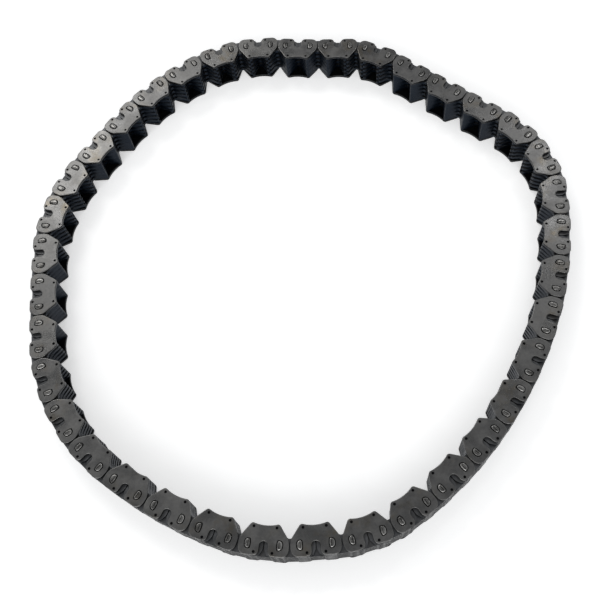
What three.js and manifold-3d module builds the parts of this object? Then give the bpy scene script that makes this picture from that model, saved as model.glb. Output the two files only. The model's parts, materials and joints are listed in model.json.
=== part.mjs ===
// Endless inverted-tooth ("silent") drive chain, lying on its side as a closed loop.
// Guide links (two guide plates with toothed plates between them) alternate with inner links
// (toothed plates only). Each joint is a rocker pair: a long pin seated in the guide link and
// a short rocker seated in the inner link, rolling on each other at the joint line.
// Units are millimetres. +Z is up, across the width of the chain. The teeth point into the loop.

import * as THREE from 'three';
import { mergeVertices } from 'three/addons/utils/BufferGeometryUtils.js';
import Module from 'manifold-3d';

const wasm = await Module();
wasm.setup();

// ---- driving dimensions ----------------------------------------------------------------

const PITCH = 9.525;               // 3/8 inch between joint lines
const SEGMENTS = 37;               // each is one guide link and one inner link: 74 pitches
const LAYERS = 11;                 // plates side by side, guide plates outermost
const LAYER_PITCH = 1.5;           // from one plate to the next across the chain
const GAP = 0.3;                   // running clearance between neighbouring pieces
const PIN_PROUD = 0.4;             // pin end beyond the guide plate's face

const TIP_HEIGHT = 7.3;            // tooth tip above the joint line
const BACK_DEPTH = 4.0;            // back edge below the joint line
const HALF_LENGTH = 9.36;          // plate centre to its rounded end
const FLANK = Math.tan(THREE.MathUtils.degToRad(37));   // sideways run of a flank per unit of height
const TIP_LAND = 0.35;             // half the width of a tooth tip before rounding
const TIP_ROUND = 0.57;            // height over which the tip corner is rounded
const FLANK_FOOT = 2.2;            // height where the flank turns into the rounded end
const CORNER = 2.8;                // radius from the end to the back edge
const CROTCH = 1.45;               // radius at the root between two teeth
const SADDLE_DIP = 0.65;           // sag of the guide plate's edge between its tips
const ARCH_HALF = 1.75;            // half width of the opening in the guide plate's back
const ARCH_TOP = 1.1;              // top of that opening above the joint line
const ARCH_FOOT = 2.2;             // depth where the opening starts to flare
const ARCH_MOUTH = 3.9;            // half width of the flared mouth at the back edge

const PIN_NEAR = GAP / 2;          // rolling face of a pin from the joint line
const PIN_FAR = 2.15;              // back of a pin from the joint line
const PIN_HALF = 1.65;             // half height of a pin
const ROLL_DROP = 0.3;             // how far a rolling face falls back at its ends
const SEAT_ROOM = 0.45;            // room round the moving pin inside the plate's aperture

// How the loop lies: stretches of joints, with the bend of each joint in degrees.
// The last stretch takes up what is left of the full turn.
const LIE = [[3, 7], [2, 3], [3, 9.5], [16, 3.5], [5, 11], [6, 0], [3, 11.5], [3, -1.5],
  [4, 8.5], [5, 5], [3, 0.5], [5, 7.5], [4, 1], [7, 6.5], [5, null]];
const FIRST_HEADING = -27.66;      // degrees, direction of the first guide link
const OPEN_LINK = 1;               // the segment whose plates, pins and rockers are separate
const FINE = 2;                    // steps in each curve of a separate piece
const COARSE = 1;                  // and of a segment in one piece

const GUIDE_COLOUR = 0x6b6a68;
const TOOTH_COLOUR = 0x3c3f45;
const PIN_COLOUR = 0x85827d;

// ---- solids ------------------------------------------------------------------------------

function finish(colour, roughness) {
  return new THREE.MeshStandardMaterial({ color: colour, roughness, metalness: 0.9 });
}

const guideSteel = finish(GUIDE_COLOUR, 0.42);
const toothSteel = finish(TOOTH_COLOUR, 0.5);
const pinSteel = finish(PIN_COLOUR, 0.3);

function toSolid(geometry) {
  const bare = geometry.index ? geometry.toNonIndexed() : geometry.clone();
  bare.deleteAttribute('normal');
  bare.deleteAttribute('uv');
  const merged = mergeVertices(bare, 1e-5);
  return new wasm.Manifold(new wasm.Mesh({
    numProp: 3,
    vertProperties: Float32Array.from(merged.attributes.position.array),
    triVerts: Uint32Array.from(merged.index.array),
  }));
}

function toGeometry(solid) {
  const data = solid.getMesh();
  const geometry = new THREE.BufferGeometry();
  geometry.setAttribute('position', new THREE.BufferAttribute(data.vertProperties, 3));
  geometry.setIndex(new THREE.BufferAttribute(data.triVerts, 1));
  geometry.computeVertexNormals();
  return geometry;
}

// A flat plate of the given outline between two heights, placed by x, y and a turn about Z.
// smooth is the number of straight steps in each curve of the outline.
function slab(shape, z0, z1, smooth, place = { x: 0, y: 0, turn: 0 }) {
  const options = { depth: z1 - z0, bevelEnabled: false, curveSegments: smooth };
  const geometry = new THREE.ExtrudeGeometry(shape, options);
  geometry.translate(0, 0, z0);
  geometry.rotateZ(place.turn);
  geometry.translate(place.x, place.y, 0);
  return geometry;
}

function layerBottom(layer) {
  return layer * LAYER_PITCH + GAP / 2;
}

function layerTop(layer) {
  return (layer + 1) * LAYER_PITCH - GAP / 2;
}

const TOP_LAYER = LAYERS - 1;
const STACK_BOTTOM = layerBottom(0);
const STACK_TOP = layerTop(TOP_LAYER);
const PIN_BOTTOM = STACK_BOTTOM - PIN_PROUD;
const PIN_TOP = STACK_TOP + PIN_PROUD;
const CORE_BOTTOM = layerBottom(1);
const CORE_TOP = layerTop(TOP_LAYER - 1);
const TOOTH_X = PITCH / 2;

// ---- plate outlines, centred on the plate, joint line along X, teeth towards +Y ------------

// Half the tooth's width at a height, before the tip is rounded.
function toothHalfWidth(height) {
  return TIP_LAND + (TIP_HEIGHT - height) * FLANK;
}

// From the outer flank's foot round the end to the back edge, on the side given by its sign.
function endCurve(shape, side, towardsBack) {
  const footX = TOOTH_X + toothHalfWidth(FLANK_FOOT);
  const kneeY = TIP_HEIGHT - (HALF_LENGTH - TOOTH_X - TIP_LAND) / FLANK;
  const cornerY = CORNER - BACK_DEPTH;
  const backX = HALF_LENGTH - CORNER;
  if (towardsBack) {
    shape.lineTo(side * footX, FLANK_FOOT);
    shape.quadraticCurveTo(side * HALF_LENGTH, kneeY, side * HALF_LENGTH, cornerY);
    shape.quadraticCurveTo(side * HALF_LENGTH, -BACK_DEPTH, side * backX, -BACK_DEPTH);
  } else {
    shape.lineTo(side * backX, -BACK_DEPTH);
    shape.quadraticCurveTo(side * HALF_LENGTH, -BACK_DEPTH, side * HALF_LENGTH, cornerY);
    shape.quadraticCurveTo(side * HALF_LENGTH, kneeY, side * footX, FLANK_FOOT);
  }
}

// One tooth tip, from its left flank to its right flank, rounded at both corners.
function toothTip(shape, centre) {
  const shoulder = TIP_HEIGHT - TIP_ROUND;
  const wide = toothHalfWidth(shoulder);
  shape.lineTo(centre - wide, shoulder);
  shape.quadraticCurveTo(centre - TIP_LAND, TIP_HEIGHT, centre, TIP_HEIGHT);
  shape.quadraticCurveTo(centre + TIP_LAND, TIP_HEIGHT, centre + wide, shoulder);
}

// Plate with two teeth and a rounded crotch between them.
function toothedPlate() {
  const shape = new THREE.Shape();
  const flankAngle = Math.atan(FLANK);
  const vertexY = TIP_HEIGHT - (TOOTH_X - TIP_LAND) / FLANK;
  const rootY = vertexY + CROTCH / Math.sin(flankAngle);
  const rootX = CROTCH * Math.cos(flankAngle);
  const rootEdge = rootY - CROTCH * Math.sin(flankAngle);
  const rootFloor = rootY - CROTCH;
  shape.moveTo(rootX, rootEdge);
  toothTip(shape, TOOTH_X);
  endCurve(shape, 1, true);
  endCurve(shape, -1, false);
  toothTip(shape, -TOOTH_X);
  shape.lineTo(-rootX, rootEdge);
  shape.quadraticCurveTo(0, 2 * rootFloor - rootEdge, rootX, rootEdge);
  return shape;
}

// Guide plate: two low tips joined by a shallow saddle, and an arch cut into its back.
function guidePlate() {
  const shape = new THREE.Shape();
  const shoulder = TIP_HEIGHT - TIP_ROUND;
  const shoulderX = TOOTH_X + toothHalfWidth(shoulder);
  const tipX = TOOTH_X - TIP_LAND;
  shape.moveTo(-tipX, TIP_HEIGHT);
  shape.quadraticCurveTo(0, TIP_HEIGHT - 2 * SADDLE_DIP, tipX, TIP_HEIGHT);
  shape.quadraticCurveTo(TOOTH_X + TIP_LAND, TIP_HEIGHT, shoulderX, shoulder);
  endCurve(shape, 1, true);
  shape.lineTo(ARCH_MOUTH, -BACK_DEPTH);
  shape.quadraticCurveTo(ARCH_HALF, -BACK_DEPTH, ARCH_HALF, -ARCH_FOOT);
  shape.lineTo(ARCH_HALF, ARCH_TOP - ARCH_HALF);
  shape.quadraticCurveTo(ARCH_HALF, ARCH_TOP, 0, ARCH_TOP);
  shape.quadraticCurveTo(-ARCH_HALF, ARCH_TOP, -ARCH_HALF, ARCH_TOP - ARCH_HALF);
  shape.lineTo(-ARCH_HALF, -ARCH_FOOT);
  shape.quadraticCurveTo(-ARCH_HALF, -BACK_DEPTH, -ARCH_MOUTH, -BACK_DEPTH);
  endCurve(shape, -1, false);
  shape.lineTo(-shoulderX, shoulder);
  shape.quadraticCurveTo(-(TOOTH_X + TIP_LAND), TIP_HEIGHT, -tipX, TIP_HEIGHT);
  return shape;
}

// D-shaped pin section. Its gently crowned rolling face looks back at the joint line at x = 0,
// its round back looks along +X; grow widens it for the seat it sits in.
function pinSection(grow = 0) {
  const shape = new THREE.Shape();
  const half = PIN_HALF + grow;
  const far = PIN_FAR + grow;
  const near = PIN_NEAR - grow;
  shape.moveTo(near + ROLL_DROP, -half);
  shape.lineTo(far * 0.55, -half);
  shape.quadraticCurveTo(far, -half, far, 0);
  shape.quadraticCurveTo(far, half, far * 0.55, half);
  shape.lineTo(near + ROLL_DROP, half);
  shape.quadraticCurveTo(near - ROLL_DROP, 0, near + ROLL_DROP, -half);
  return shape;
}

// Room for the neighbouring link's pin on the other side of the joint line. Its straight side is
// the crowned rolling face that the pin meets.
function rollRoom() {
  const shape = new THREE.Shape();
  const half = PIN_HALF + SEAT_ROOM;
  const far = PIN_FAR + SEAT_ROOM;
  shape.moveTo(PIN_NEAR + ROLL_DROP, half);
  shape.lineTo(-far * 0.55, half);
  shape.quadraticCurveTo(-far, half, -far, 0);
  shape.quadraticCurveTo(-far, -half, -far * 0.55, -half);
  shape.lineTo(PIN_NEAR + ROLL_DROP, -half);
  shape.lineTo(PIN_NEAR, 0);
  shape.closePath();
  return shape;
}

const GUIDE = guidePlate();
const TOOTHED = toothedPlate();

// Where a pin stands in a plate: on the right joint looking outwards, or on the left one.
const RIGHT_JOINT = { x: TOOTH_X, y: 0, turn: 0 };
const LEFT_JOINT = { x: -TOOTH_X, y: 0, turn: Math.PI };

function pinSolid(joint, z0, z1, smooth) {
  return toSolid(slab(pinSection(), z0, z1, smooth, joint));
}

// ---- single pieces of the open link ----------------------------------------------------------

function guidePlateSolid(layer) {
  const z0 = layerBottom(layer);
  const z1 = layerTop(layer);
  let solid = toSolid(slab(GUIDE, z0, z1, FINE));
  for (const joint of [LEFT_JOINT, RIGHT_JOINT]) {
    solid = solid.subtract(toSolid(slab(pinSection(GAP), z0 - 1, z1 + 1, FINE, joint)));
  }
  return solid;
}

function toothedPlateSolid(layer) {
  const z0 = layerBottom(layer);
  const z1 = layerTop(layer);
  let solid = toSolid(slab(TOOTHED, z0, z1, FINE));
  for (const joint of [LEFT_JOINT, RIGHT_JOINT]) {
    const seat = toSolid(slab(pinSection(GAP), z0 - 1, z1 + 1, FINE, joint));
    const room = toSolid(slab(rollRoom(), z0 - 1, z1 + 1, FINE, joint));
    solid = solid.subtract(seat.add(room));
  }
  return solid;
}

// ---- a segment in one piece: its guide link and its inner link --------------------------------

// The inner link as one block, with an aperture at its far joint for the next guide link's pin.
function innerBlock(combed) {
  let block = toSolid(slab(TOOTHED, CORE_BOTTOM, CORE_TOP, COARSE));
  const room = slab(rollRoom(), CORE_BOTTOM - 1, CORE_TOP + 1, COARSE, RIGHT_JOINT);
  block = block.subtract(toSolid(room));
  if (combed) {
    for (let layer = 2; layer < TOP_LAYER; layer += 2) {
      const slot = new THREE.BoxGeometry(HALF_LENGTH * 2, HALF_LENGTH * 2, LAYER_PITCH + GAP);
      slot.translate(HALF_LENGTH - SEAT_ROOM * 2, 0, (layer + 0.5) * LAYER_PITCH);
      block = block.subtract(toSolid(slot));
    }
  }
  return block;
}

// Local frame: centred on the guide plates. bend is the angle of the inner link to the guide link.
function segmentSolid(bend, { combStart = false, combEnd = false } = {}) {
  const along = new THREE.Matrix4().makeTranslation(TOOTH_X, 0, 0)
    .multiply(new THREE.Matrix4().makeRotationZ(bend))
    .multiply(new THREE.Matrix4().makeTranslation(TOOTH_X, 0, 0));
  let solid = innerBlock(combEnd).transform(along.elements);
  for (const layer of [0, TOP_LAYER]) {
    solid = solid.add(toSolid(slab(GUIDE, layerBottom(layer), layerTop(layer), COARSE)));
  }
  if (combStart) {
    const room = toSolid(slab(rollRoom(), CORE_BOTTOM, CORE_TOP, COARSE, LEFT_JOINT));
    for (let layer = 2; layer < TOP_LAYER; layer += 2) {
      const tine = toSolid(slab(TOOTHED, layerBottom(layer), layerTop(layer), COARSE));
      solid = solid.add(tine.subtract(room));
    }
  }
  solid = solid.add(pinSolid(LEFT_JOINT, PIN_BOTTOM, PIN_TOP, COARSE));
  return solid.add(pinSolid(RIGHT_JOINT, PIN_BOTTOM, PIN_TOP, COARSE));
}

// ---- the loop -------------------------------------------------------------------------------

// Headings of the 74 links, from the listed bends.
function listedHeadings() {
  const joints = SEGMENTS * 2;
  const listed = LIE.slice(0, -1).reduce((sum, [count, bend]) => sum + count * bend, 0);
  const rest = (360 - listed) / LIE[LIE.length - 1][0];
  const bends = LIE.flatMap(([count, bend]) => Array(count).fill(bend === null ? rest : bend));
  const headings = [THREE.MathUtils.degToRad(FIRST_HEADING)];
  for (let i = 1; i < joints; i += 1) {
    headings.push(headings[i - 1] + THREE.MathUtils.degToRad(bends[i - 1]));
  }
  return headings;
}

// Turns every link by a little, a cosine and a sine of its heading, so that the loop closes.
function closedHeadings() {
  const listed = listedHeadings();
  let a = 0;
  let b = 0;
  const turned = () => listed.map((h) => h + a * Math.cos(h) + b * Math.sin(h));
  for (let round = 0; round < 20; round += 1) {
    const now = turned();
    const sum = (term) => now.reduce((total, h, i) => total + term(h, listed[i]), 0);
    const x = sum((h) => Math.cos(h));
    const y = sum((h) => Math.sin(h));
    const xa = sum((h, l) => -Math.sin(h) * Math.cos(l));
    const xb = sum((h, l) => -Math.sin(h) * Math.sin(l));
    const ya = sum((h, l) => Math.cos(h) * Math.cos(l));
    const yb = sum((h, l) => Math.cos(h) * Math.sin(l));
    const det = xa * yb - xb * ya;
    a -= (x * yb - xb * y) / det;
    b -= (xa * y - x * ya) / det;
  }
  return turned();
}

// Centre and heading of each guide plate, and the bend of its inner link.
function layOut() {
  const headings = closedHeadings();
  const places = [];
  let x = 0;
  let y = 0;
  for (let k = 0; k < SEGMENTS; k += 1) {
    const guide = headings[2 * k];
    const inner = headings[2 * k + 1];
    places.push({
      x: x + TOOTH_X * Math.cos(guide),
      y: y + TOOTH_X * Math.sin(guide),
      turn: guide,
      bend: inner - guide,
    });
    x += PITCH * (Math.cos(guide) + Math.cos(inner));
    y += PITCH * (Math.sin(guide) + Math.sin(inner));
  }
  return places;
}

function addMesh(parent, name, solid, material) {
  const mesh = new THREE.Mesh(toGeometry(solid), material);
  mesh.name = name;
  parent.add(mesh);
}

function groupAt(parent, x, y, turn) {
  const group = new THREE.Group();
  group.position.set(x, y, 0);
  group.rotation.z = turn;
  parent.add(group);
  return group;
}

// The open link: every plate, pin and rocker of one segment as its own piece.
function addOpenLink(parent, bend) {
  addMesh(parent, 'guide_plate_lower', guidePlateSolid(0), guideSteel);
  addMesh(parent, 'guide_plate_upper', guidePlateSolid(TOP_LAYER), guideSteel);
  for (let layer = 2; layer < TOP_LAYER; layer += 2) {
    addMesh(parent, `guide_row_plate_${layer / 2}`, toothedPlateSolid(layer), toothSteel);
  }
  addMesh(parent, 'long_pin_first', pinSolid(LEFT_JOINT, PIN_BOTTOM, PIN_TOP, FINE), pinSteel);
  addMesh(parent, 'long_pin_second', pinSolid(RIGHT_JOINT, PIN_BOTTOM, PIN_TOP, FINE), pinSteel);

  const knee = groupAt(parent, TOOTH_X, 0, bend);
  const inner = groupAt(knee, TOOTH_X, 0, 0);
  for (let layer = 1; layer < TOP_LAYER; layer += 2) {
    addMesh(inner, `inner_row_plate_${(layer + 1) / 2}`, toothedPlateSolid(layer), toothSteel);
  }
  addMesh(inner, 'rocker_first', pinSolid(LEFT_JOINT, CORE_BOTTOM, CORE_TOP, FINE), pinSteel);
  addMesh(inner, 'rocker_second', pinSolid(RIGHT_JOINT, CORE_BOTTOM, CORE_TOP, FINE), pinSteel);
}

function buildChain() {
  const chain = new THREE.Group();
  layOut().forEach((place, k) => {
    const frame = groupAt(chain, place.x, place.y, place.turn);
    if (k === OPEN_LINK) {
      addOpenLink(frame, place.bend);
      return;
    }
    const combs = { combStart: k === OPEN_LINK + 1, combEnd: k === OPEN_LINK - 1 };
    const name = `link_segment_${String(k + 1).padStart(2, '0')}`;
    addMesh(frame, name, segmentSolid(place.bend, combs), guideSteel);
  });
  chain.updateMatrixWorld(true);
  const box = new THREE.Box3().setFromObject(chain, true);
  const centre = box.getCenter(new THREE.Vector3());
  chain.position.set(-centre.x, -centre.y, -box.min.z);
  chain.updateMatrixWorld(true);
  return chain;
}

export default buildChain();
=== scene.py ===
"""Looks of an endless inverted-tooth drive chain that lies on its side as a closed loop.

Every link is made of its real pieces: two guide plates, rows of toothed plates, long pins and
rockers. A piece is worked out once, centred on its own plate with the joint line along X and the
teeth towards +Y, and then laid at its place in the loop. Lengths are in millimetres until a mesh
is written, which is in metres.
"""

import json
import math

import bpy
import numpy as np
from mathutils import Matrix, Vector
from mathutils.geometry import delaunay_2d_cdt


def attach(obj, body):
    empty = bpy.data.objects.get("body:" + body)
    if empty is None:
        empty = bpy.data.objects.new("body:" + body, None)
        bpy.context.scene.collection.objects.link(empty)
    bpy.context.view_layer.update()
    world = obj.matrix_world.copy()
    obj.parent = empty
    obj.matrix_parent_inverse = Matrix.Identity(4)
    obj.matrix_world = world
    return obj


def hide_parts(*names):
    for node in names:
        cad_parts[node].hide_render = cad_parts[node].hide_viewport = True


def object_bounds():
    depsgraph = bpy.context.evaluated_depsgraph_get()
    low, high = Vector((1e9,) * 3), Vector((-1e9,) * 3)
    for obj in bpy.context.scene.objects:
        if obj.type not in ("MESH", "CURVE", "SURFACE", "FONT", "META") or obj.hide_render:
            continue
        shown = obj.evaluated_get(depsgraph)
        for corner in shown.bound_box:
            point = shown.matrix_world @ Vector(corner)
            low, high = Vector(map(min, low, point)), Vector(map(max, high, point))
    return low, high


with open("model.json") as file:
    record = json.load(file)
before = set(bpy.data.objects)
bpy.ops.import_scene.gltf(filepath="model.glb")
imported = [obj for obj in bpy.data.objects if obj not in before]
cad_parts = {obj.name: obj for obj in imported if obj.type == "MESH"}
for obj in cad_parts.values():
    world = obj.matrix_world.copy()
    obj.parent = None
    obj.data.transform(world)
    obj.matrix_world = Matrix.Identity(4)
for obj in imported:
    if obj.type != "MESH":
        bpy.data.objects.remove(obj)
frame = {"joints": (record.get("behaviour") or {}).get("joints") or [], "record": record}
cad_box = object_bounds()

MM = 0.001

# ---- driving dimensions, millimetres ---------------------------------------------------------

PITCH = 9.525
HALF_PITCH = PITCH / 2
SEGMENTS = 37
LAYERS = 11
STACK_BOTTOM = 0.4
LAYER_PITCH = 1.48
PLATE_THICK = 1.4
PIN_BOTTOM = 0.0
PIN_TOP = 17.0
TIP = 7.3
BACK = -4.0
END = 9.36
KNEE = 1.664
TIP_HALF = 0.35
CROTCH = 1.445
SADDLE_HALF = 3.9
SADDLE_DEPTH = 0.65
ARCH_HALF = 1.62
ARCH_TOP = 1.1
RIM = 0.22
SEAT_RIM = 0.12
DIMPLE = 0.5
DIMPLE_DEPTH = 0.45
GUIDE_ROW = range(2, LAYERS - 1, 2)
INNER_ROW = range(1, LAYERS - 1, 2)

# ---- patterns on a plate: width of its UV square in millimetres, height of the back line in that
# square, and the bend in degrees from which an edge is sharp

PLATE_SQUARE = 20
BACK_LINE = 0.33
SHARP_BEND = 50

# ---- the camera: place from the middle of the loop's underside in millimetres, angles in radians,
# lens and sensor in millimetres, shifts as shares of the sensor's width

CAMERA_PLACE = [4.1426, -160.7185, 358.6187]
CAMERA_LIFT = 1.0857927
CAMERA_ROLL = -0.1371255
CAMERA_SIDE = 0.0096177
SENSOR_WIDTH = 36
FOCAL_LENGTH = 53.90694
SHIFT_ACROSS = -1 / 150
SHIFT_DOWN = -17 / 120

# stretches of joints along the loop, with the bend of each in degrees; None takes what is left
LIE = [(3, 7), (2, 3), (3, 9.5), (16, 3.5), (5, 11), (6, 0), (3, 11.5), (3, -1.5),
       (4, 8.5), (5, 5), (3, 0.5), (5, 7.5), (4, 1), (7, 6.5), (5, None)]
FIRST_HEADING = -27.66
OPEN_LINK = 2


# ---- the loop --------------------------------------------------------------------------------

def link_headings():
    """Directions of the 74 links: the listed bends summed up, then each direction h turned by
    a cos h + b sin h, with a and b found by Newton steps so that the links close on themselves."""
    counts = np.array([count for count, bend in LIE])
    known = sum(count * bend for count, bend in LIE if bend is not None)
    bends = np.array([(360 - known) / LIE[-1][0] if bend is None else bend
                      for count, bend in LIE])
    steps = np.repeat(bends, counts)[:SEGMENTS * 2 - 1]
    listed = np.radians(FIRST_HEADING + np.concatenate([[0.0], np.cumsum(steps)]))
    turn = np.zeros(2)
    for _ in range(20):
        now = listed + turn[0] * np.cos(listed) + turn[1] * np.sin(listed)
        miss = np.array([np.cos(now).sum(), np.sin(now).sum()])
        slope = np.array([[-(np.sin(now) * np.cos(listed)).sum(),
                           -(np.sin(now) * np.sin(listed)).sum()],
                          [(np.cos(now) * np.cos(listed)).sum(),
                           (np.cos(now) * np.sin(listed)).sum()]])
        turn = turn - np.linalg.solve(slope, miss)
    return listed + turn[0] * np.cos(listed) + turn[1] * np.sin(listed)


def link_starts(headings):
    """Start joint of each link: the running sum of one pitch along each link's direction, moved
    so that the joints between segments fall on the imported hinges."""
    ahead = PITCH * np.stack([np.cos(headings), np.sin(headings)], 1)
    starts = np.concatenate([np.zeros((1, 2)), np.cumsum(ahead, 0)[:-1]])
    moves = []
    for joint in frame["joints"]:
        words = joint["name"].split("_")
        if len(words) == 3 and words[1].isdigit() and words[2].isdigit():
            late = max(int(words[1]), int(words[2]))
            place = starts[2 * (late - 1)]
            moves.append(np.array(joint["pos_m"][:2]) / MM - place)
    return starts + np.mean(moves, 0)


# ---- outlines, anticlockwise, millimetres ----------------------------------------------------

def rounded(corners, radii, steps):
    """Closed outline with filleted corners. With unit directions u and v to the two neighbours
    and half the angle between them a, the fillet's centre stands radius / sin a along u + v, and
    its points turn evenly from the tangent point on u to the one on v. A corner of no radius
    stays one point."""
    p = np.asarray(corners, float)
    r = np.asarray(radii, float)[:, None]
    n = np.asarray(steps, int)
    u = np.roll(p, 1, 0) - p
    v = np.roll(p, -1, 0) - p
    u = u / np.linalg.norm(u, axis=1, keepdims=True)
    v = v / np.linalg.norm(v, axis=1, keepdims=True)
    opening = np.arccos(np.clip((u * v).sum(1, keepdims=True), -1, 1))
    half = opening / 2
    middle = (u + v) / np.maximum(np.linalg.norm(u + v, axis=1, keepdims=True), 1e-9)
    centre = p + middle * r / np.sin(half)
    reach = r / np.tan(half)
    safe = np.maximum(r, 1e-9)
    a = (p + u * reach - centre) / safe
    b = (p + v * reach - centre) / safe
    sweep = np.maximum(math.pi - opening, 1e-9)
    k = np.arange(n.max())[None, :]
    share = k / np.maximum(n[:, None] - 1, 1)
    near = np.sin((1 - share) * sweep) / np.sin(sweep)
    far = np.sin(share * sweep) / np.sin(sweep)
    spoke = near[..., None] * a[:, None] + far[..., None] * b[:, None]
    arc = centre[:, None] + r[:, None] * spoke
    arc = np.where(r[:, None] > 0, arc, p[:, None])
    keep = k < np.where(r[:, 0] > 0, n, 1)[:, None]
    return arc[keep]


def pulled_in(outline, inset):
    """The outline moved inwards by inset along the bisector of each corner's two edge normals,
    lengthened by one over the cosine of half the corner's turn. A negative inset widens it."""
    before = outline - np.roll(outline, 1, 0)
    after = np.roll(outline, -1, 0) - outline
    n1 = np.stack([before[:, 1], -before[:, 0]], 1)
    n2 = np.stack([after[:, 1], -after[:, 0]], 1)
    n1 = n1 / np.linalg.norm(n1, axis=1, keepdims=True)
    n2 = n2 / np.linalg.norm(n2, axis=1, keepdims=True)
    out = n1 + n2
    out = out / np.linalg.norm(out, axis=1, keepdims=True)
    return outline - out * inset / np.maximum((out * n1).sum(1, keepdims=True), 0.5)


def toothed_outline():
    """Plate with two pointed teeth over its joints and a rounded crotch between them."""
    near, far = HALF_PITCH - TIP_HALF, HALF_PITCH + TIP_HALF
    corners = [(END, 0), (END, KNEE), (far, TIP), (near, TIP), (0, CROTCH), (-near, TIP),
               (-far, TIP), (-END, KNEE), (-END, 0), (-END, BACK), (END, BACK)]
    radii = [0, 4.6, 0.5, 0.5, 1.45, 0.5, 0.5, 4.6, 0, 2.8, 2.8]
    return rounded(corners, radii, [1, 3, 2, 2, 4, 2, 2, 3, 1, 3, 3])


def guide_outline():
    """Guide plate: two low tips joined by a shallow saddle on a circle, round ends, and an arch
    cut up into the back between two lobes."""
    x = np.linspace(SADDLE_HALF, -SADDLE_HALF, 9)
    dip_radius = (4.4 ** 2 + SADDLE_DEPTH ** 2) / (2 * SADDLE_DEPTH)
    saddle = np.stack([x, TIP - SADDLE_DEPTH + dip_radius - np.sqrt(dip_radius ** 2 - x ** 2)], 1)
    corners = np.concatenate([
        [(END, KNEE), (5.04, TIP + 0.3)], saddle,
        [(-5.04, TIP + 0.3), (-END, KNEE), (-END, BACK), (-ARCH_HALF, BACK),
         (-ARCH_HALF, ARCH_TOP), (ARCH_HALF, ARCH_TOP), (ARCH_HALF, BACK), (END, BACK)]])
    radii = [4.6, 1.25] + [0] * 9 + [1.25, 4.6, 2.8, 1.9, 1.58, 1.58, 1.9, 2.8]
    steps = [7, 5] + [1] * 9 + [5, 7, 7, 8, 7, 7, 8, 7]
    return rounded(corners, radii, steps)


def pin_outline(grow=0.0, fine=True):
    """D-shaped pin section beside its joint line at x = 0: a crowned rolling face looks back at
    the line, and the back is rounded. grow widens it into a seat."""
    near, far, half = 0.15 - grow, 2.15 + grow, 1.65 + grow
    corners = [(near, 0), (near + 0.07, -half * 0.5), (near + 0.3, -half), (far, -half),
               (far, half), (near + 0.3, half), (near + 0.07, half * 0.5)]
    soft = 1.25 + grow * 0.6
    steps = [1, 1, 3, 6, 6, 3, 1] if fine else [1, 1, 2, 3, 3, 2, 1]
    return rounded(corners, [0, 0, 0.35, soft, soft, 0.35, 0], steps)


def aperture_outline():
    """Opening round a joint of a toothed plate: the seat of its own pin outwards, and room for
    the neighbour's pin to roll inwards. Point 0 is its outer end and point 5 its inner end."""
    corners = [(2.3, 0), (2.3, 1.85), (-2.6, 2.2), (-2.6, 0), (-2.6, -2.2), (2.3, -1.85)]
    return rounded(corners, [0, 1.3, 0, 0, 0, 1.3], [1, 3, 1, 1, 1, 3])


def at_joint(outline, side):
    """An outline drawn beside its joint line, set at the right joint looking outwards, or turned
    half round at the left joint."""
    return outline * side + np.array([HALF_PITCH * side, 0])


# ---- solids: arrays of points and lists of faces ---------------------------------------------

def wall(count, low, high, inward=False):
    """Quads between two rings of the same number of points that start at low and high."""
    i = np.arange(count)
    j = np.roll(i, -1)
    quads = np.stack([low + i, low + j, high + j, high + i], 1)
    return (quads[:, ::-1] if inward else quads).tolist()


def carried(outline, rows, start, inward=False):
    """The outline carried up through rows of (inset, height, rub): points, rub and side faces."""
    sign = -1.0 if inward else 1.0
    rings = [np.column_stack([pulled_in(outline, sign * inset), np.full(len(outline), z)])
             for inset, z, wear_and_shade in rows]
    wear_and_shade = np.repeat([wear_and_shade for inset, z, wear_and_shade in rows], len(outline))
    faces = []
    for k in range(len(rows) - 1):
        low = start + k * len(outline)
        faces += wall(len(outline), low, low + len(outline), inward)
    return np.concatenate(rings), wear_and_shade, faces


def within(points, outline):
    """Which points lie inside an outline: those with an odd number of edges to their right."""
    x, y = points[:, None, 0], points[:, None, 1]
    a, b = outline[None], np.roll(outline, -1, 0)[None]
    spans = (a[..., 1] > y) != (b[..., 1] > y)
    rise = np.where(np.abs(b[..., 1] - a[..., 1]) < 1e-12, 1e-12, b[..., 1] - a[..., 1])
    cross = a[..., 0] + (y - a[..., 1]) / rise * (b[..., 0] - a[..., 0])
    return (spans & (x < cross)).sum(1) % 2 == 1


def face_between(outer, holes, firsts, upwards):
    """Triangles of the flat face inside outer and outside the holes. firsts are the numbers of
    the first point of each ring in the solid's own list."""
    rings = [outer, *holes]
    points = np.concatenate(rings)
    numbers = np.concatenate([first + np.arange(len(ring)) for first, ring in zip(firsts, rings)])
    begins = np.cumsum([0] + [len(ring) for ring in rings])
    edges = np.concatenate([np.stack([b + np.arange(len(r)), b + np.roll(np.arange(len(r)), -1)], 1)
                            for b, r in zip(begins, rings)])
    made = delaunay_2d_cdt(points.tolist(), edges.tolist(), [], 0, 1e-7)
    triangles = np.array(made[2])
    source = np.array([olds[0] for olds in made[3]])
    centres = np.array([list(v) for v in made[0]])[triangles].mean(1)
    keep = within(centres, outer)
    for hole in holes:
        keep &= ~within(centres, hole)
    chosen = numbers[source[triangles[keep]]]
    return (chosen if upwards else chosen[:, ::-1]).tolist()


def rim_rows(low, high, rim):
    """Rows that round both rims of a plate in two steps, with a narrow flat ring inside each."""
    soft = rim * 0.3
    up = [(rim * 1.6, low, 0.0), (rim, low, 0.5), (soft, low + soft, 1.0), (0, low + rim, 0.6)]
    return up + [(inset, low + high - z, wear_and_shade) for inset, z, wear_and_shade in up[::-1]]


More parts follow.
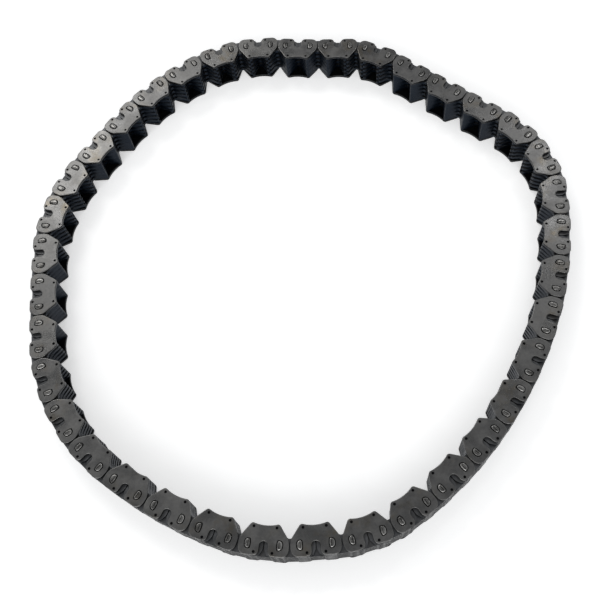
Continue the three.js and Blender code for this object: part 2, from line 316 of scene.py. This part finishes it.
def guide_plate():
    """Guide plate from z 0 to its thickness, with rounded rims, two pin seats right through, and
    four dimples pressed into its upper face. Returns points, rub and faces."""
    outline = guide_outline()
    seats = [at_joint(pin_outline(0.2), side) for side in (-1, 1)]
    turn = np.linspace(0, 2 * math.pi, 12, endpoint=False)
    circle = np.stack([np.cos(turn), np.sin(turn)], 1)
    spots = np.array([(4.25, 6.05), (-4.25, 6.05), (3.42, -2.8), (-3.42, -2.8)])
    points, wear_and_shade, faces = carried(outline, rim_rows(0, PLATE_THICK, RIM), 0)
    low_rings, high_rings = [points[:len(outline), :2]], [points[-len(outline):, :2]]
    low_firsts, high_firsts = [0], [len(points) - len(outline)]
    for seat in seats:
        start = len(points)
        p, r, f = carried(seat, rim_rows(0, PLATE_THICK, SEAT_RIM), start, inward=True)
        # Painted shade: the seat walls get negative values, which darken them towards black inside
        # the hole.
        r = np.repeat([0, 0, -0.4, -0.8, -0.8, -0.4, 0, 0], len(seat))
        points, wear_and_shade, faces = np.concatenate([points, p]), np.concatenate([wear_and_shade, r]), faces + f
        low_rings.append(p[:len(seat), :2])
        high_rings.append(p[-len(seat):, :2])
        low_firsts.append(start)
        high_firsts.append(start + len(p) - len(seat))
    count = len(circle)
    for spot in spots:
        start = len(points)
        # Painted shade: the dimple's sides and floor get negative values, which darken them towards
        # black.
        rows = [(-0.12, PLATE_THICK, 0.0), (-0.05, PLATE_THICK, 0.0), (0, PLATE_THICK - 0.06, -0.5),
                (0.06, PLATE_THICK - 0.36, -1.0), (0.16, PLATE_THICK - DIMPLE_DEPTH, -1.0)]
        p = np.concatenate([np.column_stack([circle * (DIMPLE - inset) + spot,
                                             np.full(count, z)]) for inset, z, wear_and_shade_amount in rows])
        r = np.repeat([wear_and_shade_amount for inset, z, wear_and_shade_amount in rows], count)
        f = []
        for k in range(len(rows) - 1):
            f += wall(count, start + k * count, start + (k + 1) * count)
        f += [(start + (len(rows) - 1) * count + np.arange(count)).tolist()]
        points, wear_and_shade, faces = np.concatenate([points, p]), np.concatenate([wear_and_shade, r]), faces + f
        high_rings.append(p[:count, :2])
        high_firsts.append(start)
    faces += face_between(low_rings[0], low_rings[1:], low_firsts, False)
    faces += face_between(high_rings[0], high_rings[1:], high_firsts, True)
    return points, wear_and_shade, faces


def turned_over(solid):
    """The plate with its upper face below: heights mirrored in its middle, faces reversed. Its
    inner face, now on top, takes painted shade, darkened nearly to black where it lies under the
    stack."""
    points, wear_and_shade, faces = solid
    flipped = points * [1, 1, -1] + [0, 0, PLATE_THICK]
    # Painted shade: the upper face and the top of its rim take -0.85, which darkens them nearly to
    # black.
    wear_and_shade = np.where(flipped[:, 2] > PLATE_THICK - 0.1, -0.85, wear_and_shade)
    return flipped, wear_and_shade, [face[::-1] for face in faces]


def toothed_plate():
    """Toothed plate of a few dozen faces: side walls, and each flat face in two halves that meet
    on the joint line, above and below the two apertures."""
    outline = toothed_outline()
    count = len(outline)
    west = int(np.argmin(np.hypot(outline[:, 0] + END, outline[:, 1])))
    hole = aperture_outline()
    size = len(hole)
    right = hole + [HALF_PITCH, 0]
    left = hole * [-1, 1] - [HALF_PITCH, 0]
    flat = np.concatenate([outline, right, left])
    points = np.concatenate([np.column_stack([flat, np.full(len(flat), z)])
                             for z in (0, PLATE_THICK)])
    total = len(flat)
    rim = np.concatenate([np.ones(count), np.full(2 * size, 0.3)])
    wear_and_shade = np.concatenate([rim, rim])
    faces = wall(count, 0, total)
    faces += [[a + count for a in face] for face in wall(size, 0, total, inward=True)]
    faces += [[a + count + size for a in face] for face in wall(size, 0, total)]
    over, under = [5, 4, 3, 2, 1, 0], [0, 9, 8, 7, 6, 5]
    upper = (list(range(west + 1)) + [count + size + a for a in over[::-1]]
             + [count + a for a in over])
    lower = (list(range(west, count)) + [0] + [count + a for a in under]
             + [count + size + a for a in under[::-1]])
    for half in (upper, lower):
        faces.append([a + total for a in half])
        faces.append(half[::-1])
    return points, wear_and_shade, faces


def pin(low, high, fine=True):
    """Pin or rocker standing beside its joint line: the D section carried up with a chamfered,
    slightly domed end. The plain one has flat ends and few faces."""
    outline = pin_outline(0.0, fine)
    if fine:
        # The chamfer rows are marked worn; the pin steel's very bright bare colour makes them
        # painted glints as well as wear.
        rows = [(0.7, low, 0.1), (0.4, low + 0.01, 0.2), (0.17, low + 0.05, 0.9),
                (0, low + 0.24, 0.9)]
        rows += [(inset, low + high - z, wear_and_shade) for inset, z, wear_and_shade in rows[::-1]]
    else:
        rows = [(0, low, 0.5), (0, high, 0.5)]
    points, wear_and_shade, faces = carried(outline, rows, 0)
    faces.append(list(range(len(outline)))[::-1])
    faces.append((len(points) - len(outline) + np.arange(len(outline))).tolist())
    return points, wear_and_shade, faces


# ---- meshes ----------------------------------------------------------------------------------

def laid(solid, centre, turn, height=0.0):
    """A solid turned about Z and moved to its place in the loop, keeping its own flat
    coordinates for patterns that follow the plate."""
    points, wear_and_shade, faces = solid
    c, s = math.cos(turn), math.sin(turn)
    spun = points @ np.array([[c, s, 0], [-s, c, 0], [0, 0, 1]])
    return spun + [centre[0], centre[1], height], wear_and_shade, faces, points[:, :2]


def piece(name, parts, material, node, tones):
    """One mesh from several laid solids, with the plate's own coordinates as a UV map, and rub
    and tone as point attributes. It rides on the body that holds its node and stands for it."""
    firsts = np.cumsum([0] + [len(part[0]) for part in parts])
    points = np.concatenate([part[0] for part in parts]) * MM
    faces = [[a + int(first) for a in face] for first, part in zip(firsts, parts)
             for face in part[2]]
    mesh = bpy.data.meshes.new(name)
    mesh.from_pydata(points.tolist(), [], faces)
    corner = np.zeros(len(mesh.loops), np.int32)
    mesh.loops.foreach_get("vertex_index", corner)
    own = np.concatenate([part[3] for part in parts]) / PLATE_SQUARE + 0.5
    layer = mesh.uv_layers.new(name="plate_face")
    layer.data.foreach_set("uv", own[corner].astype(np.float32).ravel())
    wear_and_shade = np.concatenate([part[1] for part in parts])
    tone = np.concatenate([np.full(len(part[0]), t) for part, t in zip(parts, tones)])
    for label, values in (("wear_and_shade", wear_and_shade), ("tone", tone)):
        attribute = mesh.attributes.new(label, "FLOAT", "POINT")
        attribute.data.foreach_set("value", values.astype(np.float32))
    mesh.polygons.foreach_set("use_smooth", np.ones(len(mesh.polygons), bool))
    mesh.set_sharp_from_angle(angle=math.radians(SHARP_BEND))
    mesh.materials.append(material)
    mesh.update()
    made = bpy.data.objects.new(name, mesh)
    bpy.context.scene.collection.objects.link(made)
    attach(made, BODY_OF[node])
    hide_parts(node)
    return made


# ---- node groups -----------------------------------------------------------------------------

def new_group(name, inputs, outputs):
    """An empty shader node group with named value or colour sockets."""
    group = bpy.data.node_groups.new(name, "ShaderNodeTree")
    for label, kind, value in inputs:
        socket = group.interface.new_socket(label, in_out="INPUT", socket_type=kind)
        socket.default_value = value
    for label, kind in outputs:
        group.interface.new_socket(label, in_out="OUTPUT", socket_type=kind)
    return group, group.nodes.new("NodeGroupInput"), group.nodes.new("NodeGroupOutput")


def math_node(tree, kind, a, b=None, clamp=False):
    """A Math node on sockets or numbers."""
    node = tree.nodes.new("ShaderNodeMath")
    node.operation = kind
    node.use_clamp = clamp
    for slot_number, value in enumerate((a, b)):
        if value is None:
            continue
        if isinstance(value, (int, float)):
            node.inputs[slot_number].default_value = value
        else:
            tree.links.new(value, node.inputs[slot_number])
    return node.outputs[0]


def noise(tree, vector, scale, detail, rough=0.55, stretch=(1, 1, 1)):
    """Noise on a vector that is first stretched along its axes."""
    mapping = tree.nodes.new("ShaderNodeMapping")
    mapping.inputs["Scale"].default_value = stretch
    texture = tree.nodes.new("ShaderNodeTexNoise")
    texture.inputs["Detail"].default_value = detail
    texture.inputs["Roughness"].default_value = rough
    tree.links.new(vector, mapping.inputs["Vector"])
    tree.links.new(mapping.outputs[0], texture.inputs["Vector"])
    if isinstance(scale, (int, float)):
        texture.inputs["Scale"].default_value = scale
    else:
        tree.links.new(scale, texture.inputs["Scale"])
    return texture.outputs["Fac"]


def spread(tree, value, low, high, to_low=0.0, to_high=1.0):
    """A value carried smoothly from one span to another."""
    node = tree.nodes.new("ShaderNodeMapRange")
    node.interpolation_type = "SMOOTHSTEP"
    node.inputs["From Min"].default_value = low
    node.inputs["From Max"].default_value = high
    node.inputs["To Min"].default_value = to_low
    node.inputs["To Max"].default_value = to_high
    tree.links.new(value, node.inputs["Value"])
    return node.outputs["Result"]


def stamped_steel():
    """Rolled and tumbled sheet: soft mottling, fine pits, and hair scratches along the plate."""
    group, given, out = new_group(
        "stamped steel",
        [("Mottle", "NodeSocketFloat", 0.5), ("Pitting", "NodeSocketFloat", 0.3),
         ("Scratches", "NodeSocketFloat", 0.3)],
        [("Shade", "NodeSocketFloat"), ("Dullness", "NodeSocketFloat"),
         ("Height", "NodeSocketFloat")])
    place = group.nodes.new("ShaderNodeTexCoord").outputs["Object"]
    plate = group.nodes.new("ShaderNodeUVMap")
    plate.uv_map = "plate_face"
    broad = noise(group, place, 170, 4)
    fine = noise(group, place, 900, 3)
    pits = spread(group, noise(group, place, 2600, 2, 0.6), 0.56, 0.7)
    hair = spread(group, noise(group, plate.outputs["UV"], 9, 3, 0.7, (1, 42, 1)), 0.55, 0.75)
    cloud = math_node(group, "MULTIPLY", spread(group, broad, 0.32, 0.68, -0.5, 0.5),
                      given.outputs["Mottle"])
    grain = math_node(group, "MULTIPLY", spread(group, fine, 0.3, 0.7, -0.25, 0.25),
                      given.outputs["Mottle"])
    dents = math_node(group, "MULTIPLY", pits, given.outputs["Pitting"])
    lines = math_node(group, "MULTIPLY", hair, given.outputs["Scratches"])
    shade = math_node(group, "ADD", math_node(group, "ADD", cloud, grain), lines)
    shade = math_node(group, "SUBTRACT", shade, math_node(group, "MULTIPLY", dents, 0.8))
    group.links.new(math_node(group, "ADD", shade, 0.5, clamp=True), out.inputs["Shade"])
    group.links.new(math_node(group, "SUBTRACT", math_node(group, "ADD", cloud, dents), lines),
                    out.inputs["Dullness"])
    height = math_node(group, "SUBTRACT", math_node(group, "MULTIPLY", fine, 0.35), dents)
    group.links.new(math_node(group, "SUBTRACT", height, math_node(group, "MULTIPLY", lines, 0.4)),
                    out.inputs["Height"])
    return group


def rim_wear_and_shade():
    """Bare rims where plates wear, from the piece's wear-and-shade attribute broken up by noise,
    and a painted shade mask where that attribute is below nought.
    """
    group, given, out = new_group(
        "rim wear and shade", [("Amount", "NodeSocketFloat", 0.5)],
        [("Mask", "NodeSocketFloat"), ("Painted Shade", "NodeSocketFloat")])
    wear_and_shade = group.nodes.new("ShaderNodeAttribute")
    wear_and_shade.attribute_name = "wear_and_shade"
    place = group.nodes.new("ShaderNodeTexCoord").outputs["Object"]
    broken = spread(group, noise(group, place, 420, 3), 0.4, 0.62)
    wear_and_shade_amount = math_node(group, "MULTIPLY", wear_and_shade.outputs["Fac"], broken)
    group.links.new(math_node(group, "MULTIPLY", wear_and_shade_amount, given.outputs["Amount"], clamp=True),
                    out.inputs["Mask"])
    # Painted shade: the negative part of the attribute darkens hollows and faces between parts
    # towards black.
    group.links.new(math_node(group, "MULTIPLY", wear_and_shade.outputs["Fac"], -1.0, clamp=True),
                    out.inputs["Painted Shade"])
    return group


def wall_shade_masks():
    """Painted shade masks for a plate's walls: one where the surface stands upright, and on it a
    second mask for the back edge, which lies below the joint line, for a second painted shade."""
    group, given, out = new_group(
        "wall shade masks", [("Back Line", "NodeSocketFloat", BACK_LINE)],
        [("Shaded Wall", "NodeSocketFloat"), ("Back", "NodeSocketFloat")])
    facing = group.nodes.new("ShaderNodeSeparateXYZ")
    group.links.new(group.nodes.new("ShaderNodeNewGeometry").outputs["Normal"], facing.inputs[0])
    flat = math_node(group, "ABSOLUTE", facing.outputs["Z"])
    group.links.new(spread(group, flat, 0.25, 0.85, 1.0, 0.0), out.inputs["Shaded Wall"])
    plate = group.nodes.new("ShaderNodeUVMap")
    plate.uv_map = "plate_face"
    own = group.nodes.new("ShaderNodeSeparateXYZ")
    group.links.new(plate.outputs["UV"], own.inputs[0])
    below = math_node(group, "SUBTRACT", given.outputs["Back Line"], own.outputs["Y"])
    group.links.new(spread(group, below, -0.03, 0.03), out.inputs["Back"])
    return group


def oil_film():
    """Thin oil left in patches over the chain, with a browner pool where it drained."""
    group, given, out = new_group(
        "oil film", [("Cover", "NodeSocketFloat", 0.5)],
        [("Film", "NodeSocketFloat"), ("Brown", "NodeSocketFloat")])
    place = group.nodes.new("ShaderNodeTexCoord").outputs["Object"]
    patches = spread(group, noise(group, place, 60, 3), 0.42, 0.66)
    smear = spread(group, noise(group, place, 150, 4, 0.65), 0.45, 0.7)
    group.links.new(math_node(group, "MULTIPLY", patches, given.outputs["Cover"]),
                    out.inputs["Film"])
    group.links.new(math_node(group, "MULTIPLY", math_node(group, "MULTIPLY", patches, smear),
                              given.outputs["Cover"]), out.inputs["Brown"])
    return group


# ---- materials -------------------------------------------------------------------------------

def steel(name, dark, light, bare, edge, back, roughness, metallic, specular, mottle, pitting,
          scratches, wear_and_shade_amount, oil, bump):
    """Steel between a dark and a light colour by its mottling and each plate's own tone, with a
    brown oil film, bare rims (on pins bright enough to be painted glints), painted shade on upright
    walls in an edge and a back colour, and painted shade near black where the wear-and-shade
    attribute is below nought."""
    material = bpy.data.materials.new(name)
    material.use_nodes = True
    tree = material.node_tree
    tree.nodes.clear()
    shader = tree.nodes.new("ShaderNodeBsdfPrincipled")
    surface = tree.nodes.new("ShaderNodeOutputMaterial")
    tree.links.new(shader.outputs[0], surface.inputs["Surface"])
    shader.inputs["Metallic"].default_value = metallic
    shader.inputs["Specular IOR Level"].default_value = specular

    sheet = tree.nodes.new("ShaderNodeGroup")
    sheet.node_tree = STAMPED
    sheet.inputs["Mottle"].default_value = mottle
    sheet.inputs["Pitting"].default_value = pitting
    sheet.inputs["Scratches"].default_value = scratches
    rim = tree.nodes.new("ShaderNodeGroup")
    rim.node_tree = RIM_WEAR_AND_SHADE
    rim.inputs["Amount"].default_value = wear_and_shade_amount
    film = tree.nodes.new("ShaderNodeGroup")
    film.node_tree = OILED
    film.inputs["Cover"].default_value = oil
    tone = tree.nodes.new("ShaderNodeAttribute")
    tone.attribute_name = "tone"

    def mix(share, a, b):
        node = tree.nodes.new("ShaderNodeMix")
        node.data_type = "RGBA"
        node.inputs["A"].default_value = (*a, 1) if isinstance(a, tuple) else (0, 0, 0, 1)
        if not isinstance(a, tuple):
            tree.links.new(a, node.inputs["A"])
        node.inputs["B"].default_value = (*b, 1)
        tree.links.new(share, node.inputs["Factor"])
        return node.outputs["Result"]

    share = math_node(tree, "ADD", math_node(tree, "MULTIPLY", sheet.outputs["Shade"], 0.65),
                      math_node(tree, "MULTIPLY", tone.outputs["Fac"], 0.35), clamp=True)
    colour = mix(share, dark, light)
    colour = mix(film.outputs["Brown"], colour, tuple(0.62 * x * t for x, t in
                                                      zip(light, (1.12, 0.94, 0.66))))
    colour = mix(rim.outputs["Mask"], colour, bare)
    # Painted shade: upright walls take the edge colour, and the back walls the back colour, in
    # place of the face colour.
    cut = tree.nodes.new("ShaderNodeGroup")
    cut.node_tree = WALL_SHADE_MASKS
    cut.inputs["Back Line"].default_value = BACK_LINE
    painted_wall_shade = mix(cut.outputs["Back"], edge, back)
    both = tree.nodes.new("ShaderNodeMix")
    both.data_type = "RGBA"
    tree.links.new(cut.outputs["Shaded Wall"], both.inputs["Factor"])
    tree.links.new(colour, both.inputs["A"])
    tree.links.new(painted_wall_shade, both.inputs["B"])
    # Painted shade: the near-black colour where the wear-and-shade attribute is below nought.
    colour = mix(rim.outputs["Painted Shade"], both.outputs["Result"], (0.004, 0.004, 0.005))
    tree.links.new(colour, shader.inputs["Base Color"])
    rough = math_node(tree, "ADD", math_node(tree, "MULTIPLY", sheet.outputs["Dullness"], 0.16),
                      roughness)
    rough = math_node(tree, "SUBTRACT", rough,
                      math_node(tree, "MULTIPLY", film.outputs["Film"], 0.1))
    tree.links.new(math_node(tree, "MAXIMUM", rough, 0.16), shader.inputs["Roughness"])
    relief = tree.nodes.new("ShaderNodeBump")
    relief.inputs["Strength"].default_value = bump
    relief.inputs["Distance"].default_value = 0.00006
    tree.links.new(sheet.outputs["Height"], relief.inputs["Height"])
    tree.links.new(relief.outputs["Normal"], shader.inputs["Normal"])
    return material


STAMPED = stamped_steel()
RIM_WEAR_AND_SHADE = rim_wear_and_shade()
OILED = oil_film()
WALL_SHADE_MASKS = wall_shade_masks()

# Guide steel: edge and back are painted shade, dark colours for its upright walls.
GUIDE_STEEL = steel(
    "guide plate steel", dark=(0.09, 0.09, 0.0905), light=(0.168, 0.166, 0.162),
    bare=(0.3, 0.297, 0.29), edge=(0.010, 0.0115, 0.014), back=(0.02, 0.02, 0.021),
    roughness=0.33, metallic=0.9, specular=0.4, mottle=0.7, pitting=0.35, scratches=0.3,
    wear_and_shade_amount=0.5, oil=0.7, bump=0.35)
# Tooth steel: darker than the guide steel as painted shade inside the stack; edge and back are
# painted shade, dark and bluish, for its walls.
TOOTH_STEEL = steel(
    "tooth steel darkened as painted shade", dark=(0.055, 0.057, 0.06), light=(0.11, 0.112, 0.116),
    bare=(0.16, 0.163, 0.17), edge=(0.0055, 0.0105, 0.019), back=(0.015, 0.0155, 0.0165),
    roughness=0.42, metallic=0.85, specular=0.12, mottle=0.6, pitting=0.3, scratches=0.2,
    wear_and_shade_amount=0.3, oil=0.4, bump=0.3)
# Pin steel: edge and back are painted shade for its upright sides.
PIN_STEEL = steel(
    "pin steel", dark=(0.07, 0.069, 0.067), light=(0.2, 0.197, 0.19),
    # bare: wear on the chamfers, made so bright that it is a painted glint.
    bare=(0.75, 0.74, 0.72), edge=(0.012, 0.012, 0.013), back=(0.012, 0.012, 0.013),
    roughness=0.24, metallic=0.95, specular=0.4, mottle=1.0, pitting=0.8, scratches=0.1,
    wear_and_shade_amount=0.6, oil=0.4, bump=0.7)


# ---- the chain -------------------------------------------------------------------------------

BODY_OF = {node: body for body, nodes in frame["record"]["behaviour"]["bodies"].items()
           for node in nodes}


def tone_of(segment, layer):
    """A fixed tone for each plate: the fraction of a large multiple of a sine."""
    return math.modf(abs(math.sin(segment * 12.9898 + layer * 78.233) * 437.5453))[0]


def layer_height(layer):
    """Height of the underside of a layer's plates."""
    return STACK_BOTTOM + layer * LAYER_PITCH


def build_chain():
    """Every link's plates and pins, laid in the loop. The open link has a piece for each node."""
    headings = link_headings()
    starts = link_starts(headings)
    centres = starts + HALF_PITCH * np.stack([np.cos(headings), np.sin(headings)], 1)
    upper_guide = guide_plate()
    lower_guide = turned_over(upper_guide)
    toothed = toothed_plate()
    long_pin = pin(PIN_BOTTOM, PIN_TOP)
    rocker = pin(layer_height(1), layer_height(LAYERS - 2) + PLATE_THICK, fine=False)

    def stood(solid, place, side):
        """A pin solid at the right or left joint of the link at place."""
        points, wear_and_shade, faces = solid
        flat = at_joint(points[:, :2], side)
        return laid((np.column_stack([flat, points[:, 2]]), wear_and_shade, faces), *place)

    for k in range(SEGMENTS):
        number = f"{k + 1:02d}"
        guide = (centres[2 * k], headings[2 * k])
        inner = (centres[2 * k + 1], headings[2 * k + 1])
        groups = [
            ("guide_plate_lower", [laid(lower_guide, *guide, layer_height(0))],
             GUIDE_STEEL, "guide_steel", [0]),
            ("guide_plate_upper", [laid(upper_guide, *guide, layer_height(LAYERS - 1))],
             GUIDE_STEEL, "guide_steel", [LAYERS - 1]),
            ("guide_row_plate", [laid(toothed, *guide, layer_height(i)) for i in GUIDE_ROW],
             TOOTH_STEEL, "tooth_steel", GUIDE_ROW),
            ("inner_row_plate", [laid(toothed, *inner, layer_height(i)) for i in INNER_ROW],
             TOOTH_STEEL, "tooth_steel", INNER_ROW),
            ("long_pin", [stood(long_pin, guide, side) for side in (-1, 1)],
             PIN_STEEL, "pin_steel", [20, 21]),
            ("rocker", [stood(rocker, inner, side) for side in (-1, 1)],
             PIN_STEEL, "pin_steel", [22, 23]),
        ]
        for label, parts, material, slot, layers in groups:
            tones = [tone_of(k, layer) for layer in layers]
            if k + 1 != OPEN_LINK:
                plural = label if label.startswith("guide_plate") else label + "s"
                piece(f"{plural}_{number}", parts, material, f"link_segment_{number}",
                      tones)
                continue
            ends = ["first", "second"] if label in ("long_pin", "rocker") else None
            for i, part in enumerate(parts):
                tail = "" if len(parts) == 1 else f"_{ends[i] if ends else i + 1}"
                piece(f"{label}{tail}_{number}", [part], material, f"{label}{tail}",
                      tones[i:i + 1])


build_chain()


# ---- floor, light and camera -----------------------------------------------------------------

def floor():
    """A plain pale floor under the chain."""
    mesh = bpy.data.meshes.new("floor")
    reach = 6.0
    mesh.from_pydata([(-reach, -reach, 0), (reach, -reach, 0), (reach, reach, 0),
                      (-reach, reach, 0)], [], [(0, 1, 2, 3)])
    material = bpy.data.materials.new("pale floor")
    material.use_nodes = True
    shader = material.node_tree.nodes["Principled BSDF"]
    shader.inputs["Base Color"].default_value = (0.93, 0.93, 0.93, 1)
    shader.inputs["Roughness"].default_value = 0.9
    shader.inputs["Specular IOR Level"].default_value = 0.0
    shader.inputs["Emission Color"].default_value = (1, 1, 1, 1)
    shader.inputs["Emission Strength"].default_value = 0.42
    mesh.materials.append(material)
    made = bpy.data.objects.new("floor", mesh)
    bpy.context.scene.collection.objects.link(made)


def softbox(name, aim, direction, distance, size, power, colour=(1, 1, 1)):
    """A rectangular area light that looks at aim from a direction and distance, in metres."""
    lamp = bpy.data.lights.new(name, "AREA")
    lamp.shape = "RECTANGLE"
    lamp.size, lamp.size_y = size
    lamp.energy = power
    lamp.color = colour
    made = bpy.data.objects.new(name, lamp)
    bpy.context.scene.collection.objects.link(made)
    away = np.array(direction, float)
    away = away / np.linalg.norm(away)
    spot = np.array(aim) + away * distance
    z = away
    x = np.cross([0, 0, 1.0], z)
    x = x / np.linalg.norm(x)
    y = np.cross(z, x)
    turn = np.eye(4)
    turn[:3, 0], turn[:3, 1], turn[:3, 2], turn[:3, 3] = x, y, z, spot
    made.matrix_world = Matrix(turn.tolist())


def camera():
    """The viewing angle: from the near side, looking down at the loop, rolled a little."""
    low, high = cad_box
    middle = np.array([(low[0] + high[0]) / 2, (low[1] + high[1]) / 2, low[2]])
    spot = middle + np.array(CAMERA_PLACE) * MM
    lift, roll, side = CAMERA_LIFT, CAMERA_ROLL, CAMERA_SIDE
    right = np.array([math.cos(side), math.sin(side), 0])
    ahead = np.array([-math.sin(side), math.cos(side), 0])
    up_z = np.array([0, 0, 1.0])
    forward = ahead * math.cos(lift) - up_z * math.sin(lift)
    up = ahead * math.sin(lift) + up_z * math.cos(lift)
    x = math.cos(roll) * right + math.sin(roll) * up
    y = -math.sin(roll) * right + math.cos(roll) * up
    turn = np.eye(4)
    turn[:3, 0], turn[:3, 1], turn[:3, 2], turn[:3, 3] = x, y, -forward, spot
    lens = bpy.data.cameras.new("camera")
    lens.sensor_width = SENSOR_WIDTH
    lens.lens = FOCAL_LENGTH
    lens.shift_x = SHIFT_ACROSS
    lens.shift_y = SHIFT_DOWN
    lens.clip_start, lens.clip_end = 0.01, 50
    made = bpy.data.objects.new("camera", lens)
    bpy.context.scene.collection.objects.link(made)
    made.matrix_world = Matrix(turn.tolist())
    bpy.context.scene.camera = made


def light():
    """Pale surroundings, a small bright panel and a wider one behind the chain that glance off
    the upper plates, and one broad panel in front."""
    world = bpy.data.worlds.new("pale room")
    world.use_nodes = True
    world.node_tree.nodes["Background"].inputs["Color"].default_value = (0.97, 0.985, 1.0, 1)
    world.node_tree.nodes["Background"].inputs["Strength"].default_value = 0.45
    bpy.context.scene.world = world
    softbox("bright panel", (0.110, 0.024, 0.017), (0.273, 0.454, 0.848), 0.9, (0.14, 0.14), 0.4)
    softbox("back panel", (-0.088, 0.068, 0.017), (-0.22, 0.545, 0.81), 1.6, (0.5, 0.45), 4.2,
            (1.0, 0.99, 0.97))
    softbox("front panel", (0, 0, 0), (-0.3, -1.0, 0.75), 2.4, (2.4, 1.6), 24)


floor()
light()
camera()
bpy.context.scene.view_settings.view_transform = "Standard"
